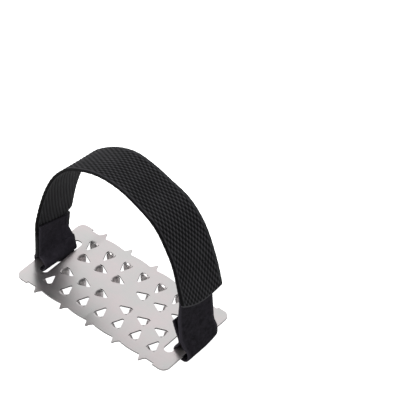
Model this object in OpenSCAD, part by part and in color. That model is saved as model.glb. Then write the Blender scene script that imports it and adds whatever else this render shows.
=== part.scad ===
// Strap-on ice cleat: a punched steel plate under the sole and a webbing strap over the shoe.
// Millimetres. Origin at the middle of the plate's top face, +Z up, +X along the plate, +Y to its back edge.

/* [Plate] */
// Plate length, end to end
plate_len = 138; // [130:1:146]
// Plate width between the recessed long edges
plate_w = 65.6; // [64:0.2:70]
// Sheet thickness
plate_t = 1.2; // [1:0.1:1.5]
// Corner radius
corner_r = 5.5; // [4:0.25:7]
// Length of each corner tab along the long edge
tab_len = 11; // [9:0.5:13]
// How far the corner tabs stand proud of the long edges
tab_proud = 1.5; // [1:0.1:2.2]
// Outward bow of the long edge between two spikes
edge_bow = 0.8; // [0.4:0.1:1.2]

/* [Edge spikes] */
// Spikes along each long edge
spike_count = 5; // [3:2:5]
// Distance between spikes
spike_pitch = 24; // [21:0.5:25]
// Spike width at its root
spike_base = 6.3; // [5:0.1:7.5]
// Spike length past the long edge
spike_h = 4.4; // [3.5:0.1:5.5]
// Width of the blunted spike point
spike_tip = 0.8; // [0.5:0.1:1.2]

/* [Punched teeth] */
// Teeth in each outer row
outer_count = 7; // [5:2:7]
// Teeth in each half of an inner row
inner_count = 3; // [2:1:3]
// Distance between teeth in a row
tooth_pitch = 16; // [15:0.25:16.5]
// Outer rows, from the plate's middle line to the round end's centre
outer_row_y = 23.8; // [23.2:0.1:24.6]
// Inner rows, from the plate's middle line
inner_row_y = 8.6; // [8:0.1:9.5]
// First tooth of an inner row, from the plate's middle
inner_first_x = 13.5; // [12.8:0.1:14]
// Radius of a hole's round end
hole_r = 3.7; // [3.4:0.1:3.9]
// Distance from the round end's centre to the hole's narrow end
hole_point = 7.6; // [7:0.1:8.2]
// Radius of a hole's narrow end
hole_tip_r = 1; // [0.7:0.1:1.3]
// Tooth width at its root
tooth_w = 6.2; // [5.4:0.1:6.4]
// Relief beside each side of a tooth's root
root_relief = 0.15; // [0.1:0.05:0.3]
// How far a tooth reaches below the plate
tooth_h = 8.25; // [6:0.25:10]
// Radius of the tooth's curl, seen from above
tooth_curl_r = 5.2; // [4.8:0.1:6]
// Bend of a tooth down from the plate, in degrees
tooth_lean = 73; // [68:1:82]
// Inside radius of the bend at a tooth's root
tooth_bend = 1.1; // [0.8:0.1:1.3]

/* [Strap slots] */
// Slot length across the plate
slot_len = 39; // [38:0.5:44]
// Slot width
slot_w = 6.9; // [6.4:0.1:7.6]
// Corner radius of the slot
slot_r = 3; // [2:0.25:3.2]
// Width of the end bar outside each slot
bar_w = 8.2; // [7.4:0.1:9]

/* [Webbing] */
// Webbing width
web_w = 38; // [34:0.5:40]
// Webbing thickness
web_t = 2; // [1.6:0.1:2.4]
// Height of the webbing's crown above the plate
arch_h = 121.5; // [114:0.5:130]
// Crown's place along the plate
crown_x = 7; // [0:1:14]
// Half-length of the flat run at the crown towards the sewn end
crown_left = 42; // [36:1:48]
// Half-length of the flat run at the crown towards the closing end
crown_right = 36; // [30:1:42]
// Height of the webbing's sewn end
seam_z = 10; // [9:0.5:13]
// Where the sewn end stands, inwards from the bar's middle
seam_in = -0.7; // [-1.5:0.1:0.5]
// Lean of the sewn end towards the shoe, in degrees
seam_lean = 8.3; // [5:0.1:11]
// Straight length of the sewn end
seam_len = 26; // [24:0.5:30]
// Stiffness of the curve above the sewn end
seam_rise = 38; // [32:1:44]
// Height of the webbing's free end
end_z = 52; // [48:0.5:56]
// Lean of the free end towards the shoe, in degrees
end_lean = 16; // [13:0.25:18]
// Straight length of the free end
end_len = 26; // [24:0.5:30]
// Stiffness of the curve above the free end
end_rise = 24; // [20:1:28]

/* [Tapes] */
// Tape width
tape_w = 31; // [28:0.5:33]
// Tape thickness
tape_t = 1.5; // [1.2:0.1:1.8]
// Middle of the sewn tape across the plate
left_y = -2; // [-2:0.25:2]
// Middle of the closing tape across the plate, at its bar
right_low_y = 1.75; // [-2:0.25:2]
// Middle of the closing tape across the plate, above its slanted stretch
right_high_y = -3.25; // [-3.5:0.25:3]
// Height where the closing tape's slanted stretch ends
right_skew_z = 26; // [20:0.5:36]
// Clearance between a tape's loop and its bar
loop_gap = 0.3; // [0.2:0.05:0.45]
// Height where the sewn tape starts to lean towards the webbing
left_foot_z = 2.75; // [2.5:0.25:4]
// Length of the sewn outer leg above the webbing's end
left_leg = 22; // [18:0.5:23.5]
// Length of the sewn inner tail above the webbing's end
left_tail = 25; // [24:0.5:30]
// Top of the closing tape
right_top_z = 62; // [59:0.5:64]
// Straight length of the closing tape's outer leg
right_leg = 42; // [38:0.5:45]
// Lean of the outer leg towards the shoe, in degrees
leg_lean = 2.5; // [1:0.25:4]
// Length of the closing tape's free tail
tail_len = 20; // [17:0.5:24]
// Lean of the free tail towards the shoe, in degrees
tail_lean = 8.5; // [4:0.25:10]
// Height where the free tail starts to lean
tail_z = 3; // [2:0.25:5]

/* [Closure] */
// Thickness of the hook patches
patch_t = 0.9; // [0.7:0.1:1.2]
// Clearance between the hook patch and the tape as the strap swings
close_gap = 0.3; // [0.2:0.05:0.5]
// Width of the webbing's hook patch
patch_w = 29; // [26:0.5:31]
// Length of the webbing's hook patch
patch_len = 22; // [18:0.5:23.5]
// Distance from the webbing's cut end to its hook patch
patch_inset = 1.5; // [1:0.25:2.5]
// Width of the tail's hook patch
tail_patch_w = 25; // [20:0.5:28]
// Length of the tail's hook patch
tail_patch_len = 14; // [11:0.5:14.5]
// Distance from the tail's top to its hook patch
tail_patch_inset = 2; // [1:0.25:2.5]

/* [Stitching] */
// Length of one stitch
stitch_len = 2.6; // [2:0.1:3.2]
// Thread width
stitch_w = 0.8; // [0.6:0.1:1]
// How far the thread stands on the cloth
stitch_t = 0.4; // [0.3:0.05:0.6]
// Distance between stitches
stitch_pitch = 4; // [3.6:0.1:4.6]
// Distance from a seam to the edge of the cloth
stitch_edge = 2.5; // [2:0.25:3.5]

/* [Hidden] */
$fn = 64;

// How far a tooth's root runs into the plate
root = 0.4;
// Least radius of a tooth's curl, at its tip
curl_core = 0.3;
// Steps along each curve of the strap, and round each tape loop
curve_steps = 24;
loop_steps = 24;

// Bars that the tapes turn on
bar_x = plate_len / 2 - bar_w / 2;
bar_z = -plate_t / 2;
slot_x = plate_len / 2 - bar_w - slot_w / 2;
left_bar = [-bar_x, bar_z];
right_bar = [bar_x, bar_z];
loop_in = norm([bar_w, plate_t]) / 2 + loop_gap;
loop_r = loop_in + tape_t / 2;
bore_r = loop_in + 0.05;

// Punched teeth
bend_out = tooth_bend + plate_t;
tooth_z = tooth_h + plate_t;
root_half = tooth_w / 2 + root_relief;
curl_x = sqrt(pow(tooth_curl_r, 2) - pow(root_half, 2)) - sqrt(pow(hole_r, 2) - pow(root_half, 2));

// Sewn end of the webbing
seam_up = [sin(seam_lean), cos(seam_lean)];
seam_base = [-bar_x + seam_in, seam_z];
seam_top = seam_base + seam_len * seam_up;
layer = web_t / 2 + tape_t / 2;

// Outer leg of the closing tape
leg_up = [-sin(leg_lean), cos(leg_lean)];
leg_out = [cos(leg_lean), sin(leg_lean)];
leg_foot = right_bar + loop_r * leg_out;
leg_top = leg_foot + right_leg * leg_up;

// Closing end of the webbing, which swings clear of the tape about the left bar
leg_face = leg_foot + leg_up * (end_z - leg_foot[1]) / leg_up[1] + leg_out * tape_t / 2;
swing_r = norm(leg_face - left_bar);
end_up = [-sin(end_lean), cos(end_lean)];
inside = web_t / 2 + patch_t;
patch_low_z = end_z - inside * sin(end_lean) + patch_inset * cos(end_lean);
patch_low_x = -bar_x + sqrt(pow(swing_r + close_gap, 2) - pow(patch_low_z - bar_z, 2));
end_base = [patch_low_x + inside * cos(end_lean) + patch_inset * sin(end_lean), end_z];
end_top = end_base + end_len * end_up;
crown = [crown_x, arch_h];

// Free tail of the closing tape, up through the right slot
tail_foot = [bar_x - loop_r, tail_z];
tail_up = [-sin(tail_lean), cos(tail_lean)];
tape_split_z = max(right_skew_z, tail_z + tail_len) + tape_t;

function unit(v) = v / norm(v);
function left_of(v) = [-v[1], v[0]];
function cubic(a, b, c, d, t) =
    a * pow(1 - t, 3) + b * 3 * t * pow(1 - t, 2) + c * 3 * t * t * (1 - t) + d * t * t * t;
function curve(a, b, c, d, from) = [for (i = [from:curve_steps]) cubic(a, b, c, d, i / curve_steps)];
function arc(c, r, from, to, n) =
    [for (i = [0:n]) let (a = from + (to - from) * i / n) c + r * [cos(a), sin(a)]];
function reversed(p) = [for (i = [len(p) - 1:-1:0]) p[i]];

// Direction of a path before and after a point, and the path moved sideways by d
function step_in(p, i) = unit(i == 0 ? p[1] - p[0] : p[i] - p[i - 1]);
function step_out(p, i) = unit(i == len(p) - 1 ? p[i] - p[i - 1] : p[i + 1] - p[i]);
function beside(p, d) = [for (i = [0:len(p) - 1])
    let (a = step_in(p, i), b = step_out(p, i), m = unit(a + b)) p[i] + d * left_of(m) / (m * a)];

// Centre line of the webbing, from the sewn end over the crown to the free end
function web_path() = concat(
    [seam_base],
    curve(seam_top, seam_top + seam_rise * seam_up, crown - [crown_left, 0], crown, 0),
    curve(crown, crown + [crown_right, 0], end_top + end_rise * end_up, end_top, 1),
    [end_base]);

// Centre line of the sewn tape: outer leg, loop under the left bar, tail through the slot
function left_path() =
    let (o = left_of(seam_up) * layer, leg = seam_base + o, tail = seam_base - o)
    concat([leg + left_leg * seam_up, leg, [-bar_x - loop_r, left_foot_z]],
           arc(left_bar, loop_r, 180, 360, loop_steps),
           [[-bar_x + loop_r, left_foot_z], tail, tail + left_tail * seam_up]);

// Centre line of the closing tape: leaning top, outer leg, loop under the right bar, free tail
function right_top() =
    [-bar_x + sqrt(pow(swing_r - tape_t / 2, 2) - pow(right_top_z - bar_z, 2)), right_top_z];
function right_path() =
    let (t = right_top(), out = unit(t - left_bar), down = [out[1], -out[0]], h = norm(t - leg_top) / 3)
    concat(curve(t, t + h * down, leg_top + h * leg_up, leg_top, 0),
           arc(right_bar, loop_r, leg_lean, -180, loop_steps),
           [tail_foot, tail_foot + tail_len * tail_up]);

// Round inside of a tape's loop, on the axis of its bar
module loop_bore(x) {
    translate([x, 0, bar_z])
        rotate([90, 0, 0])
            cylinder(r = bore_r, h = plate_w, center = true);
}

// A strip of cloth: a path in the XZ plane, thick sideways and wide along Y
module strip(path, thick, wide, y) {
    translate([0, y, 0])
        rotate([90, 0, 0])
            linear_extrude(wide, center = true)
                polygon(concat(beside(path, thick / 2), reversed(beside(path, -thick / 2))));
}

module rounded(l, w, r) {
    square([l - 2 * r, w], center = true);
    square([l, w - 2 * r], center = true);
    for (x = [-1, 1], y = [-1, 1])
        translate([x * (l / 2 - r), y * (w / 2 - r)])
            circle(r);
}

// One bowed stretch of the long edge between two spikes, with its ends inside them
module bow() {
    chord = spike_pitch - spike_base + 1;
    r = (chord * chord / 4 + edge_bow * edge_bow) / (2 * edge_bow);
    intersection() {
        translate([0, edge_bow - r])
            circle(r, $fn = 128);
        translate([-chord / 2, -1])
            square([chord, edge_bow + 2]);
    }
}

module spike() {
    flank = spike_base / 4;
    polygon([[-spike_base / 2, -1], [-spike_base / 2, 0], [-flank, spike_h * 0.42], [-spike_tip / 2, spike_h],
             [spike_tip / 2, spike_h], [flank, spike_h * 0.42], [spike_base / 2, 0], [spike_base / 2, -1]]);
}

module long_edge() {
    span = spike_pitch * (spike_count - 1) / 2;
    translate([0, plate_w / 2]) {
        for (i = [0:spike_count - 1])
            translate([i * spike_pitch - span, 0])
                spike();
        for (i = [0:spike_count - 2])
            translate([(i + 0.5) * spike_pitch - span, 0])
                bow();
    }
}

module outline() {
    difference() {
        rounded(plate_len, plate_w + 2 * tab_proud, corner_r);
        for (s = [-1, 1])
            translate([0, s * (plate_w / 2 + tab_proud)])
                square([plate_len - 2 * tab_len, 2 * tab_proud], center = true);
    }
    long_edge();
    mirror([0, 1])
        long_edge();
}

// Teardrop hole, its round end's centre at the origin and its narrow end along +X, flatter at the tooth's root
module teardrop() {
    tip = hole_point - hole_tip_r;
    a = acos((hole_r - hole_tip_r) / tip);
    side = 0.99 * [cos(a), sin(a)];
    other = [side[0], -side[1]];
    difference() {
        union() {
            circle(hole_r);
            translate([tip, 0])
                circle(hole_tip_r);
            polygon([[0, 0], hole_r * other, [tip, 0] + hole_tip_r * other,
                     [tip, 0] + hole_tip_r * side, hole_r * side]);
        }
        difference() {
            translate([-2 * hole_r, -hole_r])
                square(2 * hole_r);
            translate([curl_x, 0])
                circle(tooth_curl_r);
        }
    }
}

// Section through the bend and the tooth's leaning wall, from the axis of the curl outwards
module tooth_section() {
    far = 3 * bend_out;
    translate([tooth_curl_r, -plate_t])
        square([root, plate_t]);
    intersection() {
        translate([tooth_curl_r, -bend_out]) {
            intersection() {
                difference() {
                    circle(bend_out);
                    circle(tooth_bend);
                }
                polygon([[0, 0], [0, far], [-far * tan(tooth_lean / 2), far],
                         far * [-sin(tooth_lean), cos(tooth_lean)]]);
            }
            rotate(tooth_lean)
                translate([-2 * tooth_z, tooth_bend])
                    square([2 * tooth_z, plate_t]);
        }
        translate([curl_core, -2 * tooth_z])
            square(2 * tooth_z);
    }
}

// Pointed arch that the tooth is cut to, with its arcs a little wider than its straight sides
module tooth_face() {
    half = tooth_w / 2;
    wide = half + 0.15;
    drop = tooth_z - bend_out / 2;
    r = (drop * drop + wide * wide) / (2 * wide);
    intersection() {
        translate([-half, -tooth_z - 1])
            square([tooth_w, tooth_z + 2]);
        translate([r - wide, -bend_out / 2])
            circle(r, $fn = 128);
        translate([wide - r, -bend_out / 2])
            circle(r, $fn = 128);
    }
}

// Curled tooth, bent down from the round end of its hole
module tooth() {
    intersection() {
        translate([curl_x, 0, 0])
            rotate([0, 0, 110])
                rotate_extrude(angle = 140)
                    tooth_section();
        rotate([90, 0, -90])
            linear_extrude(4 * hole_r, center = true)
                tooth_face();
    }
}

// Places a child at every hole of the plate
module every_hole() {
    for (i = [0:outer_count - 1], s = [-1, 1])
        translate([(i - (outer_count - 1) / 2) * tooth_pitch, s * outer_row_y, 0])
            rotate([0, 0, -90 * s])
                children();
    for (i = [0:inner_count - 1], s = [-1, 1], t = [-1, 1])
        translate([t * (inner_first_x + i * tooth_pitch), s * inner_row_y, 0])
            rotate([0, 0, t > 0 ? 180 : 0])
                children();
}

module cleat_plate() {
    color([0.78, 0.78, 0.79]) {
        translate([0, 0, -plate_t])
            linear_extrude(plate_t)
                difference() {
                    outline();
                    every_hole()
                        teardrop();
                    for (s = [-1, 1])
                        translate([s * slot_x, 0])
                            rounded(slot_w, slot_len, slot_r);
                }
        every_hole()
            tooth();
    }
}

module strap_webbing() {
    color([0.08, 0.08, 0.085])
        strip(web_path(), web_t, web_w, 0);
}

module left_tape() {
    color([0.12, 0.11, 0.13])
        difference() {
            strip(left_path(), tape_t, tape_w, left_y);
            loop_bore(-bar_x);
        }
}

// Side view of the closing tape's outer leg, slanted above its bar
module slanted_leg() {
    half = tape_w / 2;
    low = -2 * loop_r;
    polygon([[right_low_y - half, low], [right_low_y - half, bar_z],
             [right_high_y - half, right_skew_z], [right_high_y - half, tape_split_z],
             [right_high_y + half, tape_split_z], [right_high_y + half, right_skew_z],
             [right_low_y + half, bar_z], [right_low_y + half, low]]);
}

// Space that the closing tape keeps to: slanted leg, tail, and all that is above them
module right_bounds() {
    low = -2 * loop_r;
    translate([bar_x, 0, 0])
        rotate([90, 0, 90])
            linear_extrude(slot_x)
                slanted_leg();
    translate([0, right_low_y - tape_w / 2, low])
        cube([bar_x, tape_w, tape_split_z - low]);
    translate([0, right_high_y - tape_w / 2, tape_split_z])
        cube([bar_x + slot_x, tape_w, end_z]);
}

module right_tape() {
    color([0.13, 0.12, 0.14])
        difference() {
            intersection() {
                strip(right_path(), tape_t, slot_len + tape_w, 0);
                right_bounds();
            }
            loop_bore(bar_x);
        }
}

// Local frames on the flat ends: Z up the cloth, X square to it
module on_seam() {
    translate([seam_base[0], left_y, seam_base[1]])
        rotate([0, seam_lean, 0])
            children();
}

module on_end() {
    translate([end_base[0], right_high_y, end_base[1]])
        rotate([0, -end_lean, 0])
            children();
}

module on_tail() {
    translate([tail_foot[0], right_low_y, tail_foot[1]])
        rotate([0, -tail_lean, 0])
            children();
}

// Hook patch sewn inside the webbing's free end
module hook_patch() {
    color([0.16, 0.15, 0.16])
        on_end()
            translate([-inside, -patch_w / 2, patch_inset])
                cube([patch_t, patch_w, patch_len]);
}

// Hook patch on the side of the free tail that faces the bar
module tail_hook_patch() {
    color([0.17, 0.16, 0.17])
        on_tail()
            translate([tape_t / 2, -tail_patch_w / 2, tail_len - tail_patch_inset - tail_patch_len])
                cube([patch_t, tail_patch_w, tail_patch_len]);
}

// Box seam of stitches on the YZ plane, w wide and l long, standing on +X
module box_seam(w, l) {
    across = floor((w - stitch_len) / stitch_pitch);
    along = floor((l - stitch_len) / stitch_pitch) - 1;
    for (i = [0:across], z = [0, l])
        translate([0, (i - across / 2) * stitch_pitch - stitch_len / 2, z - stitch_w / 2])
            cube([stitch_t, stitch_len, stitch_w]);
    for (i = [0:along], s = [-1, 1])
        translate([0, s * w / 2 - stitch_w / 2, l / 2 + (i - along / 2) * stitch_pitch - stitch_len / 2])
            cube([stitch_t, stitch_w, stitch_len]);
}

// Seam through the tape's two layers and the webbing between them
module left_stitching() {
    low = stitch_edge;
    color([0.2, 0.2, 0.21])
        on_seam()
            for (side = [0, 180])
                rotate([0, 0, side])
                    translate([web_t / 2 + tape_t, 0, low])
                        box_seam(tape_w - 2 * stitch_edge, left_leg - 2 * stitch_edge);
}

// Seam that holds the hook patch, on the outside of the webbing
module patch_stitching() {
    color([0.2, 0.2, 0.21])
        on_end()
            translate([web_t / 2, 0, patch_inset + stitch_edge])
                box_seam(patch_w - 2 * stitch_edge, patch_len - 2 * stitch_edge);
}

cleat_plate();
strap_webbing();
left_tape();
left_stitching();
hook_patch();
patch_stitching();
right_tape();
tail_hook_patch();
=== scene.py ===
import math
import bpy
import numpy as np
from mathutils import Matrix, Vector, noise


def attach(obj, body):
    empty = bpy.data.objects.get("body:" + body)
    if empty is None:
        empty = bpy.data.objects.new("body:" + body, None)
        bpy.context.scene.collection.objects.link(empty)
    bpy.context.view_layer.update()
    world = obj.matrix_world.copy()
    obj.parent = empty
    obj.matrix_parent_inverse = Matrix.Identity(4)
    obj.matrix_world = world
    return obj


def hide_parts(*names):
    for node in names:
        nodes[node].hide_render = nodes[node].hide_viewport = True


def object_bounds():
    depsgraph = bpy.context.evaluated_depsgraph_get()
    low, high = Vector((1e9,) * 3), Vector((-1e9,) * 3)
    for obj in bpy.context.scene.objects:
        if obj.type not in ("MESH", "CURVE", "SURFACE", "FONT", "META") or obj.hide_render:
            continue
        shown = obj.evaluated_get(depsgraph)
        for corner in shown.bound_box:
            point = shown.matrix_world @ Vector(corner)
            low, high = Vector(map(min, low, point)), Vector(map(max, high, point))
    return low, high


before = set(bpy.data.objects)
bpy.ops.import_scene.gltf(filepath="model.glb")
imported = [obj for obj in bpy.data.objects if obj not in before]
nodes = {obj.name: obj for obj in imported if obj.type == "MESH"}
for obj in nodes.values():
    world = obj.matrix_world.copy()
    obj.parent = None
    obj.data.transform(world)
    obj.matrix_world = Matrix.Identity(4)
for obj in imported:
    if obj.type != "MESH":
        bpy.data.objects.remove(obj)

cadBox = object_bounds()
scene = bpy.context.scene
mm = 0.001
print("frame loaded with", len(nodes), "nodes")


# camera at the photograph's angle
cameraSetup = {
    "place": (0.7210, -0.7579, 1.0997),
    "tilt": 45.996,
    "turn": 40.624,
    "lens": 198,
    "sensor": 36,
    "reach": 50,
}


def addCamera(setup):
    bpy.ops.object.camera_add(
        location=setup["place"],
        rotation=(math.radians(setup["tilt"]), 0, math.radians(setup["turn"])),
    )
    made = bpy.context.object
    made.name = "photoCamera"
    made.data.sensor_width = setup["sensor"]
    made.data.lens = setup["lens"]
    made.data.clip_end = setup["reach"]
    scene.camera = made


addCamera(cameraSetup)
print("camera set")


# a socket of a material, with its arithmetic and the textures that start from it
class Wire:
    def __init__(self, tree, socket=None):
        self.tree = tree
        self.socket = socket

    def node(self, kind, settings=None, inputs=None, output=0):
        made = self.tree.nodes.new("ShaderNode" + kind)
        for name, value in (settings or {}).items():
            setattr(made, name, value)
        for key, value in (inputs or {}).items():
            if isinstance(value, Wire):
                self.tree.links.new(value.socket, made.inputs[key])
            else:
                made.inputs[key].default_value = value
        return Wire(self.tree, made.outputs[output] if made.outputs else None)

    def math(self, operation, a, b=0.0):
        return self.node("Math", {"operation": operation}, {0: a, 1: b})

    def __add__(self, other):
        return self.math("ADD", self, other)

    def __radd__(self, other):
        return self.math("ADD", other, self)

    def __sub__(self, other):
        return self.math("SUBTRACT", self, other)

    def __rsub__(self, other):
        return self.math("SUBTRACT", other, self)

    def __mul__(self, other):
        return self.math("MULTIPLY", self, other)

    # a texture that runs from 0 to 1, made to move around zero by an amount
    def swing(self, amount):
        return (self - 0.5) * amount

    def mix(self, low, high):
        return self.node("Mix", {"data_type": "RGBA"}, {0: self, 6: low, 7: high}, 2)

    def clamp(self, low, high, curve="LINEAR"):
        limits = {0: self, 1: low, 2: high, 3: 0.0, 4: 1.0}
        return self.node("MapRange", {"interpolation_type": curve}, limits)

    def place(self):
        return self.node("TexCoord", {}, {}, "Object")

    def mark(self, name):
        return self.node("Attribute", {"attribute_name": name}, {}, "Fac")

    def axis(self, letter):
        return self.node("SeparateXYZ", {}, {0: self}, letter)

    def stretch(self, scale, turn=(0, 0, 0)):
        return self.node("Mapping", {}, {"Vector": self, "Rotation": turn, "Scale": scale})

    def cloud(self, scale, detail, roughness=0.5):
        inputs = {"Vector": self, "Scale": scale, "Detail": detail, "Roughness": roughness}
        return self.node("TexNoise", {}, inputs)

    def bump(self, strength, depth, over=None):
        inputs = {"Strength": strength, "Distance": depth, "Height": self}
        if over is not None:
            inputs["Normal"] = over
        return self.node("Bump", {}, inputs)


def newMaterial(name, shader):
    made = bpy.data.materials.new(name)
    made.use_nodes = True
    tree = made.node_tree
    tree.nodes.clear()
    start = Wire(tree)
    surface = start.node("BsdfPrincipled", {}, shader(start))
    start.node("OutputMaterial", {}, {"Surface": surface})
    return made


def rgb(r, g, b):
    return (r, g, b, 1)


# satin stainless sheet: faint warm and cool clouds, a fine rolling grain, a few scuffs
# its cut edges get painted shade, a darker colour standing in for the shadow on those walls, and the slight
# dish of its left end shows only in reflections
steelFinish = {
    "warm": rgb(0.88, 0.805, 0.81), "cool": rgb(0.79, 0.79, 0.78), "paintedEdgeShade": rgb(0.25, 0.24, 0.24),
    "grainStretch": (60.0, 1400.0, 1400.0), "grainTint": 0.3, "tintSpan": (0.3, 0.68),
    "scuffStretch": (60.0, 900.0, 200.0), "scuffTurn": (0, 0, 0.6), "scuffSpan": (0.66, 0.74),
    "rough": 0.31, "cloudRough": 0.12, "grainRough": 0.08, "scuffRough": 0.05,
    "grainRelief": 0.4, "scuffRelief": 0.3, "sheetDepth": (-0.0014, -0.0011), "steep": (0.35, 0.15),
    "sway": 0.095, "swayAlong": (-0.005, -0.045),
    "lip": 0.0013, "lipAlong": (-0.042, -0.056), "lipAcross": (-0.024, 0.004),
}


def steelShader(start):
    finish = steelFinish
    place = start.place()
    x, y, z = (place.axis(letter) for letter in "XYZ")
    clouds = place.cloud(scale=45.0, detail=3.0)
    grain = place.stretch(finish["grainStretch"]).cloud(scale=1.0, detail=2.0)
    scuffs = place.stretch(finish["scuffStretch"], finish["scuffTurn"]).cloud(scale=1.0, detail=1.0)
    scuffs = scuffs.clamp(*finish["scuffSpan"])
    tint = (clouds + grain.swing(finish["grainTint"])).clamp(*finish["tintSpan"])
    facing = start.node("TexCoord", {}, {}, "Normal").axis("Z")
    # painted shade: steep faces near the top of the sheet take the darker colour in place of the shadow on
    # them
    cut = start.math("ABSOLUTE", facing).clamp(*finish["steep"]) * z.clamp(*finish["sheetDepth"])
    colour = cut.mix(tint.mix(finish["cool"], finish["warm"]), finish["paintedEdgeShade"])
    rough = finish["rough"] + clouds.swing(finish["cloudRough"]) + grain.swing(finish["grainRough"])
    rough = rough + scuffs * finish["scuffRough"]
    height = grain * finish["grainRelief"] + scuffs * finish["scuffRelief"]
    fine = height.bump(strength=0.10, depth=0.00002)
    rim = x.clamp(*finish["lipAlong"], "SMOOTHSTEP") * y.clamp(*finish["lipAcross"])
    sway = y * x.clamp(*finish["swayAlong"]) * finish["sway"]
    dish = rim * finish["lip"] - sway
    bump = dish.bump(strength=1.0, depth=1.0, over=fine)
    return {"Base Color": colour, "Metallic": 1.0, "Roughness": rough, "Normal": bump}


# black webbing: painted highlight on the yarn crests and painted shade in the gaps between them
webbingFinish = {
    # gap is painted shade between the yarns, crest a painted highlight on them
    "gap": rgb(0.003, 0.003, 0.0035), "crest": rgb(0.048, 0.048, 0.052), "yarnStretch": (360.0, 620.0, 1.0),
    "crestTone": 0.95, "yarnTone": 0.3, "fadeTone": 0.25, "toneSpan": (0.15, 1.0),
    "rough": 0.82, "crestRough": 0.12, "yarnRough": 0.2, "shine": 0.10,
}


def webbingShader(start):
    finish = webbingFinish
    crest = start.mark("crest")
    flat = start.node("UVMap", {"uv_map": "UVMap"})
    yarn = flat.stretch(finish["yarnStretch"]).cloud(scale=1.0, detail=2.0)
    fade = start.place().cloud(scale=60.0, detail=2.0)
    tone = crest * finish["crestTone"] + yarn.swing(finish["yarnTone"]) + fade.swing(finish["fadeTone"])
    # painted light: the crest mark mixes painted shade in the gaps with painted highlight on the crests
    colour = tone.clamp(*finish["toneSpan"]).mix(finish["gap"], finish["crest"])
    rough = finish["rough"] - crest * finish["crestRough"] + yarn.swing(finish["yarnRough"])
    bump = yarn.bump(strength=0.3, depth=0.0001)
    return {"Base Color": colour, "Roughness": rough, "Normal": bump, "Specular IOR Level": finish["shine"]}


# brushed loop tape: a short felted pile, with a painted sheen along its selvedges and a painted fill light
# that makes a shaded tape paler
tapeFinish = {
    "deep": rgb(0.006, 0.0055, 0.0072), "pile": rgb(0.030, 0.027, 0.035),
    # the selvedge colour is a painted sheen, the light that the fuzz along the edges catches
    "selvedge": rgb(0.030, 0.0275, 0.035), "selvedgeSheenShare": 0.8,
    "pileTone": 0.55, "feltTone": 0.75, "toneSpan": (0.45, 1.15), "feltRelief": 0.8,
    "rough": 0.9, "pileRough": 0.2, "shine": 0.08,
}


def tapeShader(start):
    finish = tapeFinish
    place = start.place()
    pile = place.cloud(scale=1500.0, detail=3.0, roughness=0.7)
    felt = place.cloud(scale=320.0, detail=3.0)
    # pale raises a whole tape's tone as painted fill light
    tone = pile * finish["pileTone"] + felt * finish["feltTone"] + start.mark("pale")
    brushed = tone.clamp(*finish["toneSpan"]).mix(finish["deep"], finish["pile"])
    # painted sheen along the selvedges
    colour = (start.mark("selvedge") * finish["selvedgeSheenShare"]).mix(brushed, finish["selvedge"])
    rough = finish["rough"] + pile.swing(finish["pileRough"])
    bump = (pile + felt * finish["feltRelief"]).bump(strength=0.6, depth=0.0003)
    return {"Base Color": colour, "Roughness": rough, "Normal": bump, "Specular IOR Level": finish["shine"]}


# moulded hooks on their woven base
hookFinish = {
    "base": rgb(0.005, 0.005, 0.006), "hook": rgb(0.014, 0.0135, 0.015), "weaveSpan": (0.3, 0.7),
    "rough": 0.42, "weaveRough": 0.3, "shine": 0.3,
}


def hookShader(start):
    finish = hookFinish
    weave = start.place().cloud(scale=900.0, detail=2.0)
    colour = weave.clamp(*finish["weaveSpan"]).mix(finish["base"], finish["hook"])
    rough = finish["rough"] + weave.swing(finish["weaveRough"])
    bump = weave.bump(strength=0.3, depth=0.0001)
    return {"Base Color": colour, "Roughness": rough, "Normal": bump, "Specular IOR Level": finish["shine"]}


# twisted sewing thread
threadFinish = {
    "dark": rgb(0.004, 0.004, 0.005), "light": rgb(0.013, 0.012, 0.014),
    "plyStretch": (1500.0, 1500.0, 1500.0), "plyTurn": (0.6, 0.5, 0.6),
    "rough": 0.6, "plyRough": 0.1, "shine": 0.12,
}


def threadShader(start):
    finish = threadFinish
    plyMap = start.place().stretch(finish["plyStretch"], finish["plyTurn"])
    ply = start.node("TexWave", {}, {"Vector": plyMap, "Scale": 0.5, "Distortion": 1.5, "Detail": 2.0})
    colour = ply.mix(finish["dark"], finish["light"])
    rough = finish["rough"] + ply * finish["plyRough"]
    bump = ply.bump(strength=0.4, depth=0.0001)
    return {"Base Color": colour, "Roughness": rough, "Normal": bump, "Specular IOR Level": finish["shine"]}


steel = newMaterial("satinSteel", steelShader)
blackWebbing = newMaterial("blackWebbing", webbingShader)
loopTape = newMaterial("loopTape", tapeShader)
hookTape = newMaterial("hookTape", hookShader)
blackThread = newMaterial("blackThread", threadShader)
print("materials made")


def clearSelection():
    bpy.ops.object.select_all(action="DESELECT")


def dress(piece, material, body, slot, *replaced):
    piece.data.materials.clear()
    piece.data.materials.append(material)
    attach(piece, body)
    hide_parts(*replaced)


# steel plate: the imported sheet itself, with its finish
plate = nodes["cleat_plate"]
plate.data.materials.clear()
plate.data.materials.append(steel)
print("plate finished")


def smooth(t):
    t = np.clip(t, 0, 1)
    return t * t * (3 - 2 * t)


# 0 before the start, 1 after the end, eased between them
def ramp(value, start, end):
    return smooth((value - start) / (end - start))


def curveThrough(a, b, c, d, steps=60):
    t = np.linspace(0, 1, steps + 1)[:, None]
    a, b, c, d = (np.array(p, float) for p in (a, b, c, d))
    return a * (1 - t) ** 3 + 3 * b * t * (1 - t) ** 2 + 3 * c * t * t * (1 - t) + d * t ** 3


# the length run along a line up to each of its points
def runAlong(points):
    return np.r_[0, np.cumsum(np.linalg.norm(np.diff(points, axis=0), axis=1))]


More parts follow.
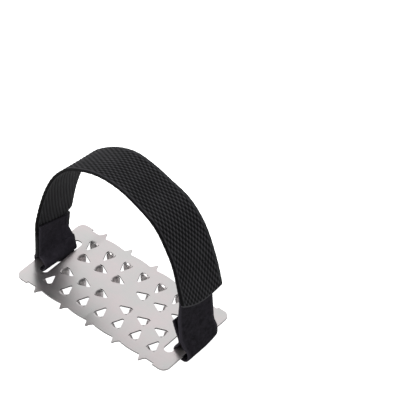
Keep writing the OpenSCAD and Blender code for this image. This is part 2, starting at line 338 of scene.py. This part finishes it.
# a line in the XZ plane at even steps, eased by a few passes so that cloth turns without a corner
def evenLine(points, cells, ease):
    run = runAlong(points)
    s = np.linspace(0, run[-1], cells + 1)
    line = np.stack([np.interp(s, run, points[:, k]) for k in (0, 1)], 1)
    for _ in range(ease):
        line[1:-1] = (line[:-2] + 2 * line[1:-1] + line[2:]) / 4
    way = np.gradient(line, axis=0)
    way /= np.linalg.norm(way, axis=1)[:, None]
    return line, way


# what all cloth strips share: how their edges turn, how thin a cut end is and where the mesh shades smooth
stripForm = {"edgeTurn": 1.05, "endThin": 0.72, "weld": 1e-7, "smoothAngle": 55}


# one turn round a strip's section: its outer face, an edge, its inner face, the other edge
def sectionRound(half, thick, outerCells, innerCells):
    flat = half - thick
    turn = stripForm["edgeTurn"]
    bend = [(math.cos(a), math.sin(a)) for a in (turn, 0.0, -turn)]
    rows = [(v, thick, 0, 1, 1) for v in np.linspace(-flat, flat, outerCells + 1)]
    rows += [(flat + c * thick, s * thick, c, s, 0) for c, s in bend]
    rows += [(v, -thick, 0, -1, -1) for v in np.linspace(flat, -flat, innerCells + 1)]
    rows += [(-flat - c * thick, -s * thick, -c, -s, 0) for c, s in bend]
    return np.array(rows + rows[:1])


# lays a flat strip along a line: a grid is wrapped round the section, then its seam and ends are closed
def layStrip(name, points, spec, relief, drift, marks):
    length = runAlong(points)[-1]
    cells = int(round(length / spec["step"]))
    line, way = evenLine(points, cells, spec["ease"])
    rows = sectionRound(spec["width"] / 2, spec["thick"] / 2, spec["outerCells"], spec["innerCells"])
    clearSelection()
    bpy.ops.mesh.primitive_grid_add(x_subdivisions=cells, y_subdivisions=len(rows) - 1, size=2)
    piece = bpy.context.object
    piece.name = piece.data.name = name
    flat = np.empty(len(piece.data.vertices) * 3)
    piece.data.vertices.foreach_get("co", flat)
    flat = flat.reshape(-1, 3)
    i = np.rint((flat[:, 0] + 1) / 2 * cells).astype(int)
    j = np.rint((flat[:, 1] + 1) / 2 * (len(rows) - 1)).astype(int)
    s = i / cells * length
    v, h, nv, nh, face = rows[j].T
    middle, wide, stand, slip = drift(s / length, v / (spec["width"] / 2), line[i])
    lift = relief(s, v, face)
    taper = np.clip(np.minimum(s, length - s) / spec["endRound"], 0, 1)
    thin = stripForm["endThin"]
    h = h * (thin + (1 - thin) * np.sqrt(taper)) + nh * lift * taper + stand
    v = v * wide + nv * lift * taper
    out = np.stack([way[i, 1] * spec["side"], -way[i, 0] * spec["side"]], 1)
    place = np.empty_like(flat)
    place[:, 0] = line[i, 0] + out[:, 0] * h + way[i, 0] * slip
    place[:, 1] = middle + v
    place[:, 2] = line[i, 1] + out[:, 1] * h + way[i, 1] * slip
    piece.data.vertices.foreach_set("co", (place * mm).ravel())
    for mark, values in marks(s, v, face, lift).items():
        layer = piece.data.attributes.new(mark, "FLOAT", "POINT")
        layer.data.foreach_set("value", np.ascontiguousarray(values, np.float32))
    bpy.ops.object.mode_set(mode="EDIT")
    bpy.ops.mesh.select_all(action="SELECT")
    bpy.ops.mesh.remove_doubles(threshold=stripForm["weld"])
    bpy.ops.mesh.select_all(action="DESELECT")
    bpy.ops.mesh.select_mode(type="EDGE")
    bpy.ops.mesh.select_non_manifold()
    bpy.ops.mesh.fill_holes(sides=0)
    bpy.ops.mesh.select_all(action="SELECT")
    bpy.ops.mesh.normals_make_consistent(inside=False)
    bpy.ops.object.mode_set(mode="OBJECT")
    bpy.ops.object.shade_smooth_by_angle(angle=math.radians(stripForm["smoothAngle"]))
    print(name, "laid,", len(piece.data.polygons), "faces")
    return piece


# woven webbing in its arch, from the sewn end over the crown to the cut end
# the two stands say how far its front and back edges stand off the arch, at even steps along it
webbing = {
    "width": 38.0, "thick": 1.5, "step": 0.505, "outerCells": 72, "innerCells": 72,
    "ease": 12, "endRound": 0.8, "side": -1,
    "foot": (-65.6, 10.0), "end": (70.76, 52.0), "endRise": 0.961,
    "ribPitch": 2.73, "cordPitch": 1.51, "ribRound": 0.9, "cordRound": 0.7, "relief": 0.40,
    # backTone and backContrast set the inner face's painted crest highlight and gap shade
    "backPitch": 2.85, "backTilt": 0.28, "backDepth": 0.6, "backTone": 0.32, "backContrast": 0.6,
    "selvedge": (15.8, 16.8), "hemLift": 0.45, "hemRib": 0.3,
    # hemShade is painted shade on the hems and the front edge band, and sewnHemShadeLift takes some of it
    # off beside the sewn end
    "hemFrom": 17.6, "hemShade": 0.12, "sewnHemShadeLift": 0.45, "sewnHem": (16, 26),
    "endFrom": 0.85, "endSlant": 6.5, "endBow": 4.0, "bowSkew": 0.35,
    "cutTone": 0.85, "cutLine": (-1.6, -1.0),
    "gatherAt": 19.5, "gatherLength": 2.0, "gather": 0.19, "tuck": 0.05,
    "frontStand": (
        -2.8, -1.4, 0.1, 0.15, 0.75, 2.1, 3.65, 4.6, 4.2, 4.8, 4.4, 2.9, 3.4, 2.2, 2.2, 1.3, 0.6,
    ),
    "backStand": (
        1.2, 1.3, 0.45, 0.2, 0.3, 0.75, 0.6, -0.7, -1.0, -0.7, -2.3, -3.3, -0.6, 0.9, 1.75, 2.4, 1.4,
    ),
}
webbingLine = np.vstack([
    [webbing["foot"]],
    curveThrough((-61.85, 35.73), (-56.36, 73.33), (-35.0, 121.5), (7.0, 121.5)),
    curveThrough((7.0, 121.5), (43.0, 121.5), (56.98, 100.06), (63.60, 76.99))[1:],
    [webbing["end"]],
])
webbingLength = runAlong(webbingLine)[-1]
strapHalf = webbing["width"] / 2


# a smooth curve through even knots
def through(values, t):
    k = np.clip(t, 0, 1) * (len(values) - 1)
    i = np.minimum(np.floor(k).astype(int), len(values) - 2)
    f = k - i
    knots = np.array([2 * values[0] - values[1], *values, 2 * values[-1] - values[-2]])
    a, b, c, d = knots[i], knots[i + 1], knots[i + 2], knots[i + 3]
    return b + f / 2 * (c - a + f * (2 * a - 5 * b + 4 * c - d + f * (3 * (b - c) + d - a)))


def frontStand(t):
    return through(webbing["frontStand"], t)


def backStand(t):
    return through(webbing["backStand"], t)


# how far the twisted strap stands off its line, at a share of its length and of its half width
def strapStand(t, across):
    front, back = frontStand(t), backStand(t)
    return (front + back) / 2 + across * (back - front) / 2


def strapWidth(t):
    return np.sqrt(1 - ((backStand(t) - frontStand(t)) / webbing["width"]) ** 2)


# short ribs in offset columns outside, slanted cords inside, flat hems along both edges
def weaveRelief(s, v, face):
    column = v / webbing["cordPitch"]
    nearest = np.rint(column)
    along = 0.5 + 0.5 * np.cos(np.pi * (s / webbing["ribPitch"] + nearest % 2))
    across = np.abs(np.cos(np.pi * (column - nearest)))
    ribs = along ** webbing["ribRound"] * across ** webbing["cordRound"]
    cordAt = (v + webbing["backTilt"] * s) / webbing["backPitch"]
    cords = webbing["backDepth"] * (0.5 + 0.5 * np.cos(2 * np.pi * cordAt))
    hem = webbing["hemLift"] + webbing["hemRib"] * along
    edge = 1 - ramp(np.abs(v), *webbing["selvedge"])
    body = np.where(face < 0, cords, ribs) * edge + hem * (1 - edge)
    return webbing["relief"] * np.where(face == 0, hem, body)


# the cut end is slanted and bowed, and the back edge is gathered just above the sewn end
def webbingDrift(t, across, line):
    bow = webbing["endBow"] * (1 - across ** 2) * (1 - webbing["bowSkew"] * across)
    slip = ramp(t, webbing["endFrom"], 1) * (webbing["endSlant"] * (1 + across) / 2 + bow)
    reach = webbing["gatherLength"]
    past = t * webbingLength - webbing["gatherAt"]
    drawn = webbing["gather"] * np.exp(-(past / reach) ** 2)
    drawn = drawn + webbing["tuck"] * (1 - ramp(past, -reach, reach))
    wide = strapWidth(t) * np.where(across > 0, 1 - drawn, 1)
    return 0.0, wide, strapStand(t, across), slip


# crests lighter and gaps darker as painted highlight and painted shade, hems and the front edge band
# darkened with painted shade except beside the sewn end, and a pale line along the cut end
def webbingMarks(s, v, face, lift):
    crest = lift / webbing["relief"]
    # painted shade on the hems, lighter beside the sewn end
    hem = webbing["hemShade"] + webbing["sewnHemShadeLift"] * (1 - ramp(s, *webbing["sewnHem"]))
    tone = np.where(face < 0, webbing["backTone"] + webbing["backContrast"] * crest, crest)
    tone = np.where((face == 0) | (v < -webbing["hemFrom"]), hem, tone)
    cutEnd = webbing["cutTone"] * ramp(s - s.max(), *webbing["cutLine"])
    return {"crest": np.maximum(tone, cutEnd)}


strapPiece = layStrip("wovenStrap", webbingLine, webbing, weaveRelief, webbingDrift, webbingMarks)
dress(strapPiece, blackWebbing, "strap", "webbing", "strap_webbing")


# pile of the loop tape: short felted bumps on a broader unevenness, with a mask for the painted sheen along
# the selvedges and a mark for the painted fill light
tapePile = {
    "depth": 0.16, "grain": 0.9, "grainShare": 0.55, "faceGap": 3.0,
    "broad": 0.16, "broadShare": 0.5, "broadPlane": 5.0, "selvedge": (-2.2, -0.8),
}


def pileRelief(seed):
    fine, wide = tapePile["grain"], tapePile["broad"]
    gap, plane = tapePile["faceGap"], tapePile["broadPlane"]
    shift = Vector((seed, 2.0 * seed, 0.5 * seed))

    def relief(s, v, face):
        grain = [noise.noise(Vector((a * fine, b * fine, f * gap)) + shift) for a, b, f in zip(s, v, face)]
        broad = [noise.noise(Vector((a * wide, b * wide, plane)) + shift) for a, b in zip(s, v)]
        uneven = np.array(grain) * tapePile["grainShare"] + np.array(broad) * tapePile["broadShare"]
        return tapePile["depth"] * (0.5 + uneven)

    return relief


def tapeMarks(spec):
    def marks(s, v, face, lift):
        selvedge = ramp(np.abs(v) - spec["width"] / 2, *tapePile["selvedge"])
        return {"selvedge": selvedge, "pale": np.full_like(s, spec["pale"])}

    return marks


# sewn tape: outer leg, loose loop under the left bar, tail that bulges up through the slot
leftTape = {
    "width": 31.0, "thick": 1.3, "step": 0.55, "outerCells": 60, "innerCells": 60,
    # pale makes this tape paler, painted fill light standing in for the light its shaded inner side lacks
    "ease": 16, "endRound": 0.7, "side": 1, "pileSeed": 3.1, "pale": 0.29,
    "middle": -2.0, "loopMiddle": 0.8, "footMiddle": -1.8, "loopTop": (1, 10), "loopNarrow": 0.07,
    "split": -64.7, "splitLean": 0.146, "lowSplit": 0.3, "lowTop": 5,
    "legTurn": (1, 12), "tailTurn": (9, 14), "tailSlant": 6.5, "slantFrom": 0.72,
    "footBulge": 4.9, "footTurn": 1.3, "footUp": (-5, 3), "footDown": (3, 16),
    "backBulge": 4.2, "backUp": (-5, 1), "knee": 2.3, "kneeUp": (3, 9), "backDown": (10, 24),
    "underBulge": 3.0, "underUp": (-7, -5), "underDown": (-4.5, -2), "underAcross": (-0.2, 0.3),
}
leftLine = np.array([
    (-64.156, 32.022), (-67.332, 10.253), (-69.5, 4.0), (-70.3, 0.4), (-69.7, -3.2),
    (-67.4, -5.9), (-64.5, -6.7), (-61.7, -5.7), (-60.0, -3.2), (-59.6, 0.0),
    (-59.2, 2.75), (-61.4, 6.6), (-63.868, 10.6), (-60.259, 34.486),
])


# how far the left tail bulges into the foot opening, more and higher at its back edge
def leftBulge(z, across):
    foot = ramp(z, *leftTape["footUp"]) * (1 - ramp(z, *leftTape["footDown"]))
    front = foot * (leftTape["footBulge"] + leftTape["footTurn"] * np.minimum(across, 0))
    knee = leftTape["knee"] * ramp(z, *leftTape["kneeUp"])
    back = leftTape["backBulge"] * ramp(z, *leftTape["backUp"]) + knee
    back = back * (1 - ramp(z, *leftTape["backDown"]))
    under = ramp(z, *leftTape["underUp"]) * (1 - ramp(z, *leftTape["underDown"]))
    under = under * ramp(across, *leftTape["underAcross"])
    return front + (back - front) * smooth(across) + under * leftTape["underBulge"]


def leftDrift(t, across, line):
    x, z = line[:, 0], line[:, 1]
    up = z - webbing["foot"][1]
    split = leftTape["split"] + leftTape["splitLean"] * up
    tail = x > split + leftTape["lowSplit"] * (z < leftTape["lowTop"])
    strapAcross = (across * leftTape["width"] / 2 + leftTape["middle"]) / strapHalf
    turn = strapStand(up / webbingLength, strapAcross) * ramp(z, *leftTape["legTurn"])
    stand = np.where(tail, leftBulge(z, across) - turn * ramp(z, *leftTape["tailTurn"]), turn)
    loop = 1 - ramp(z, *leftTape["loopTop"])
    low = np.where(tail, leftTape["footMiddle"], leftTape["loopMiddle"])
    middle = leftTape["middle"] + (low - leftTape["middle"]) * loop
    wide = 1 - leftTape["loopNarrow"] * np.where(tail, 0, loop)
    slip = -leftTape["tailSlant"] * across * ramp(t, leftTape["slantFrom"], 1)
    return middle, wide, stand, slip


leftPile = pileRelief(leftTape["pileSeed"])
leftPiece = layStrip("sewnTape", leftLine, leftTape, leftPile, leftDrift, tapeMarks(leftTape))
dress(leftPiece, loopTape, "strap", "tape", "left_tape")


# closing tape: leaning top, slanted outer leg, slack loop under the right bar, free tail bent over the bar
rightTape = {
    "width": 31.0, "thick": 1.3, "step": 0.55, "outerCells": 60, "innerCells": 60,
    "ease": 16, "endRound": 0.7, "side": -1, "pileSeed": 7.7, "pale": 0.0,
    "split": 64.9, "tailTop": 30, "low": 1.6, "high": -2.15, "slantTop": 19.0,
    "topShift": 1.2, "topFrom": (44, 56), "tail": 1.1, "tailFrom": (-8, 2),
    "strapMiddle": -3.0, "strapFrom": (32, 52), "legTurn": 1.2, "legTurnFrom": (-4, 10), "legWide": 0.03,
    "loopTop": (1, 10), "slack": 0.5, "backSlack": 1.2, "slackFrom": (64.9, 68.9),
}
rightLine = np.vstack([
    curveThrough((64.8, 62.0), (66.9, 55.7), (68.0, 48.6), (68.257, 41.587)),
    [(70.0, 14.0), (71.2, 6.0), (72.0, 1.0), (71.8, -3.0), (69.8, -6.0), (66.6, -7.4), (63.2, -7.0)],
    [(60.8, -4.9), (59.9, -1.8), (59.8, 0.8), (61.5, 3.2), (63.5, 5.6)],
    [(64.9, 9.2), (64.2, 12.0), (62.7, 15.6), (59.2, 26.6)],
])
tailFoot, tailWay = np.array([63.9, 12.1]), np.array([-0.309, 0.951])


def rightDrift(t, across, line):
    x, z = line[:, 0], line[:, 1]
    outerLeg = (x > rightTape["split"]) | (z > rightTape["tailTop"])
    strapAt = 1 - (z - webbing["end"][1]) / webbing["endRise"] / webbingLength
    strapAcross = (across * rightTape["width"] / 2 + rightTape["strapMiddle"]) / strapHalf
    underStrap = strapStand(np.clip(strapAt, webbing["endFrom"], 1), strapAcross)
    upper = ramp(z, *rightTape["strapFrom"])
    lower = rightTape["legTurn"] * across * ramp(z, *rightTape["legTurnFrom"])
    loop = 1 - ramp(z, *rightTape["loopTop"])
    slack = rightTape["slack"] - rightTape["backSlack"] * np.clip(across, 0, 1) ** 2
    slack = slack * loop * ramp(x, *rightTape["slackFrom"])
    stand = np.where(outerLeg, underStrap * upper + lower * (1 - upper) + slack, 0.0)
    leg = rightTape["low"] + (rightTape["high"] - rightTape["low"]) * ramp(z, 0, rightTape["slantTop"])
    leg = leg + rightTape["topShift"] * ramp(z, *rightTape["topFrom"])
    tail = rightTape["low"] + (rightTape["tail"] - rightTape["low"]) * ramp(z, *rightTape["tailFrom"])
    wide = 1 + np.where(outerLeg, rightTape["legWide"] * (1 - loop), 0.0)
    return np.where(outerLeg, leg, tail), wide, stand, 0.0


rightPile = pileRelief(rightTape["pileSeed"])
rightPiece = layStrip("closingTape", rightLine, rightTape, rightPile, rightDrift, tapeMarks(rightTape))
dress(rightPiece, loopTape, "closing_tape", "tape", "right_tape")


# the strap's line and its way at even steps, read at a length along it
strapSteps = 500
strapPath, strapWay = evenLine(webbingLine, strapSteps, webbing["ease"])


def alongStrap(values, s):
    k = s / webbingLength * strapSteps
    return np.stack([np.interp(k, np.arange(strapSteps + 1), values[:, n]) for n in (0, 1)], -1)


# a place on the strap, with the way along it, the way across it and the way out of it
def onStrap(s, y, h):
    t = s / webbingLength
    spot, way = alongStrap(strapPath, s), alongStrap(strapWay, s)
    spot += np.array([-way[1], way[0]]) * (strapStand(t, y / strapHalf) + h)
    turn = math.asin((backStand(t) - frontStand(t)) / webbing["width"])
    along = Vector((way[0], 0, way[1]))
    over = Vector((-way[1] * math.sin(turn), math.cos(turn), way[0] * math.sin(turn)))
    return Vector((spot[0], y, spot[1])), along, over, along.cross(over) * -1


# a small shape drawn out from a filled ring, with a move and a scale for each step
def drawOut(sides, radius, start, steps):
    clearSelection()
    bpy.ops.mesh.primitive_circle_add(vertices=sides, radius=radius, fill_type="NGON", location=(0, 0, 0))
    shape = bpy.context.object
    bpy.ops.object.mode_set(mode="EDIT")
    bpy.ops.mesh.select_all(action="SELECT")
    bpy.ops.transform.translate(value=start)
    for move, grow in steps:
        bpy.ops.mesh.extrude_region_move(TRANSFORM_OT_translate={"value": move})
        bpy.ops.transform.resize(value=(grow, grow, grow))
    bpy.ops.mesh.select_all(action="SELECT")
    bpy.ops.mesh.normals_make_consistent(inside=False)
    bpy.ops.object.mode_set(mode="OBJECT")
    return shape


# one thread stitch, arched over the cloth with both ends sunk in it
stitchForm = {
    "sides": 6, "radius": 0.1, "start": (-0.12, 0, -1.3), "smoothAngle": 50,
    "steps": (
        ((0.14, 0, 0.35), 2.6), ((0.06, 0, 0.95), 1.2), ((-0.06, 0, 0.95), 0.83), ((-0.14, 0, 0.35), 0.38),
    ),
}


def modelStitch():
    stitch = drawOut(stitchForm["sides"], stitchForm["radius"], stitchForm["start"], stitchForm["steps"])
    bpy.ops.object.shade_smooth_by_angle(angle=math.radians(stitchForm["smoothAngle"]))
    return stitch


# one moulded hook, its stem square and its head turned over
hookForm = {
    "sides": 4, "radius": 0.17, "start": (0, 0, 0),
    "steps": (
        ((0, 0, 0.22), 0.88), ((0.05, 0, 0.13), 0.88), ((0.13, 0, 0.07), 0.88), ((0.14, 0, -0.04), 0.88),
    ),
}


def modelHook():
    return drawOut(hookForm["sides"], hookForm["radius"], hookForm["start"], hookForm["steps"])


# copies a small shape to every place, each copy with its own mesh, and joins them
def spread(name, shape, places):
    made = []
    for spot, x, y, z in places:
        copy = shape.copy()
        copy.data = shape.data.copy()
        turn = Matrix((x, y, z)).transposed().to_4x4()
        turn.translation = spot
        copy.data.transform(Matrix.Scale(mm, 4) @ turn)
        copy.matrix_world = Matrix.Identity(4)
        scene.collection.objects.link(copy)
        made.append(copy)
    clearSelection()
    for copy in made:
        copy.select_set(True)
    bpy.context.view_layer.objects.active = made[0]
    bpy.ops.object.join()
    joined = bpy.context.object
    joined.name = joined.data.name = name
    bpy.data.objects.remove(shape)
    print(name, "spread,", len(made), "copies")
    return joined


# a sewn box: a row of stitches at each end and a shorter row up each side
sewing = {
    "pitch": 4.0, "boxLength": 17.0, "endCount": 6, "sideCount": 3,
    "leftWidth": 26.0, "leftStart": 2.5, "leftHeight": 2.4,
    "patchWidth": 24.0, "patchStart": 4.0, "patchHeight": 0.95, "patchMiddle": -3.25,
}


def evenRow(count):
    return [(n - (count - 1) / 2) * sewing["pitch"] for n in range(count)]


def boxStitches(width, start, middle, height, flip):
    places = []
    for end in (0, sewing["boxLength"]):
        for shift in evenRow(sewing["endCount"]):
            places.append((start + end, middle + shift, True))
    for side in (-1, 1):
        for shift in evenRow(sewing["sideCount"]):
            places.append((start + sewing["boxLength"] / 2 + shift, middle + side * width / 2, False))
    frames = []
    for up, y, across in places:
        spot, along, over, out = onStrap(webbingLength - up if flip else up, y, height)
        out = out * (1 if height > 0 else -1)
        lie = over if across else along
        frames.append((spot, out, lie.cross(out), lie))
    return frames


leftSeam = []
for height in (sewing["leftHeight"], -sewing["leftHeight"]):
    leftSeam += boxStitches(sewing["leftWidth"], sewing["leftStart"], leftTape["middle"], height, False)
leftThread = spread("seamThread", modelStitch(), leftSeam)
dress(leftThread, blackThread, "strap", "thread", "left_stitching")
patchSeam = boxStitches(
    sewing["patchWidth"], sewing["patchStart"], sewing["patchMiddle"], sewing["patchHeight"], True,
)
patchThread = spread("patchThread", modelStitch(), patchSeam)
dress(patchThread, blackThread, "strap", "thread", "patch_stitching")


# hook patches: a thin woven base with rows of hooks
hookPatch = {
    "width": 29.0, "thick": 0.36, "step": 1.0, "outerCells": 29, "innerCells": 29,
    "ease": 0, "endRound": 0.3, "side": -1,
    "middle": sewing["patchMiddle"], "low": 1.5, "high": 23.5, "depth": -1.2, "points": 23,
}
tailPatch = {
    "width": 25.0, "thick": 0.36, "step": 1.0, "outerCells": 25, "innerCells": 25,
    "ease": 0, "endRound": 0.3, "side": 1,
    "middle": rightTape["tail"], "low": 0.3, "high": 13.8, "depth": 1.0, "points": 15,
}
hookField = {
    "pitch": 1.7, "lowRim": 0.9, "highRim": 0.5, "frontRim": 1.1, "backRim": 0.9,
    "root": 0.15, "baseWeave": 0.03,
}


def plainRelief(s, v, face):
    return hookField["baseWeave"] * np.cos(np.pi * s) * np.cos(np.pi * v)


def noMarks(s, v, face, lift):
    return {}


def patchDrift(t, across, line):
    s = webbingLength - hookPatch["high"] + t * (hookPatch["high"] - hookPatch["low"])
    y = hookPatch["middle"] + across * hookPatch["width"] / 2
    return hookPatch["middle"], 1.0, strapStand(s / webbingLength, y / strapHalf) + hookPatch["depth"], 0.0


def tailDrift(t, across, line):
    return tailPatch["middle"], 1.0, tailPatch["depth"], 0.0


patchRun = webbingLength - np.linspace(hookPatch["high"], hookPatch["low"], hookPatch["points"])
patchLine = alongStrap(strapPath, patchRun)
patchBase = layStrip("hookBase", patchLine, hookPatch, plainRelief, patchDrift, noMarks)
tailRun = np.linspace(tailPatch["low"], tailPatch["high"], tailPatch["points"])
tailLine = tailFoot + tailRun[:, None] * tailWay
tailBase = layStrip("tailHookBase", tailLine, tailPatch, plainRelief, tailDrift, noMarks)


# each hook's row, height up its patch and place across it, every second row half a pitch over
def hookRows(spec):
    pitch, half = hookField["pitch"], spec["width"] / 2
    ups = np.arange(spec["low"] + hookField["lowRim"], spec["high"] - hookField["highRim"], pitch)
    for row, up in enumerate(ups):
        first = -half + hookField["frontRim"] + pitch / 2 * (row % 2)
        for y in np.arange(first, half - hookField["backRim"], pitch):
            yield row, up, spec["middle"] + y


patchHooks, tailHooks = [], []
for row, up, y in hookRows(hookPatch):
    spot, along, over, out = onStrap(webbingLength - up, y, hookPatch["depth"] - hookField["root"])
    patchHooks.append((spot, along * (-1) ** row, over * -(-1) ** row, out * -1))
for row, up, y in hookRows(tailPatch):
    out = Vector((tailWay[1], 0, -tailWay[0]))
    along = Vector((tailWay[0], 0, tailWay[1])) * (-1) ** row
    x, z = tailFoot + tailWay * up
    spot = Vector((x, y, z)) + out * (tailPatch["depth"] + hookField["root"])
    tailHooks.append((spot, along, out.cross(along), out))


def joinPatch(name, base, hooks, body, node):
    fuzz = spread(name + "Hooks", modelHook(), hooks)
    clearSelection()
    fuzz.select_set(True)
    base.select_set(True)
    bpy.context.view_layer.objects.active = base
    bpy.ops.object.join()
    base.name = base.data.name = name
    dress(base, hookTape, body, "hook", node)


joinPatch("hookPatch", patchBase, patchHooks, "strap", "hook_patch")
joinPatch("tailHookPatch", tailBase, tailHooks, "closing_tape", "tail_hook_patch")
print("thread and hooks placed")


# pale floor under the tooth points, and soft studio light
studio = {
    "floorTone": 0.6, "floorGlow": 0.05, "floorSize": 6.0,
    "room": 0.79, "roomEven": 1.06, "roomDark": 0.14,
    "brightSide": (-0.80, 0.40, 0.45), "brightFrom": (0.42, 0.82), "aim": (0, 0, 0.03),
}
softboxes = {
    "frontSoftbox": {"place": (-0.55, -0.65, 0.75), "size": 1.3, "power": 14.0, "mirrored": True},
    "topSoftbox": {"place": (0.2, 0.2, 1.3), "size": 1.2, "power": 4.5, "mirrored": False},
}


def grey(tone):
    return rgb(tone, tone, tone)


# the floor is white to the camera and darker to everything that it lights
def addFloor():
    clearSelection()
    bpy.ops.mesh.primitive_plane_add(size=studio["floorSize"], location=(0, 0, cadBox[0].z))
    floor = bpy.context.object
    floor.name = "paleFloor"

    def floorShader(start):
        seen = start.node("LightPath", {}, {}, "Is Camera Ray")
        glow = seen.mix(grey(studio["floorGlow"]), grey(1))
        base = grey(studio["floorTone"])
        return {"Base Color": base, "Roughness": 0.9, "Emission Color": glow, "Emission Strength": 1.0}

    floor.data.materials.append(newMaterial("paleFloor", floorShader))


def addSoftbox(name, spec):
    bpy.ops.object.light_add(type="AREA", location=spec["place"])
    lamp = bpy.context.object
    lamp.name = name
    lamp.data.shape = "DISK"
    lamp.data.size = spec["size"]
    lamp.data.energy = spec["power"]
    lamp.visible_glossy = spec["mirrored"]
    aim = Vector(studio["aim"]) - Vector(spec["place"])
    lamp.rotation_euler = aim.to_track_quat("-Z", "Y").to_euler()


# the room lights evenly, but in reflections it is bright on one side and dark on the others
def addRoom():
    room = bpy.data.worlds.new("paleRoom")
    scene.world = room
    room.use_nodes = True
    start = Wire(room.node_tree)
    way = start.node("TexCoord", {}, {}, "Generated")
    sides = {0: way, 1: studio["brightSide"]}
    facing = start.node("VectorMath", {"operation": "DOT_PRODUCT"}, sides, "Value")
    mirrored = facing.clamp(*studio["brightFrom"]).mix(grey(studio["roomDark"]), grey(1))
    glossy = start.node("LightPath", {}, {}, "Is Glossy Ray")
    tone = glossy.mix(grey(studio["roomEven"]), mirrored)
    back = room.node_tree.nodes["Background"]
    room.node_tree.links.new(tone.socket, back.inputs["Color"])
    back.inputs["Strength"].default_value = studio["room"]


addFloor()
for name, spec in softboxes.items():
    addSoftbox(name, spec)
addRoom()
scene.view_settings.view_transform = "Standard"
print("studio set")
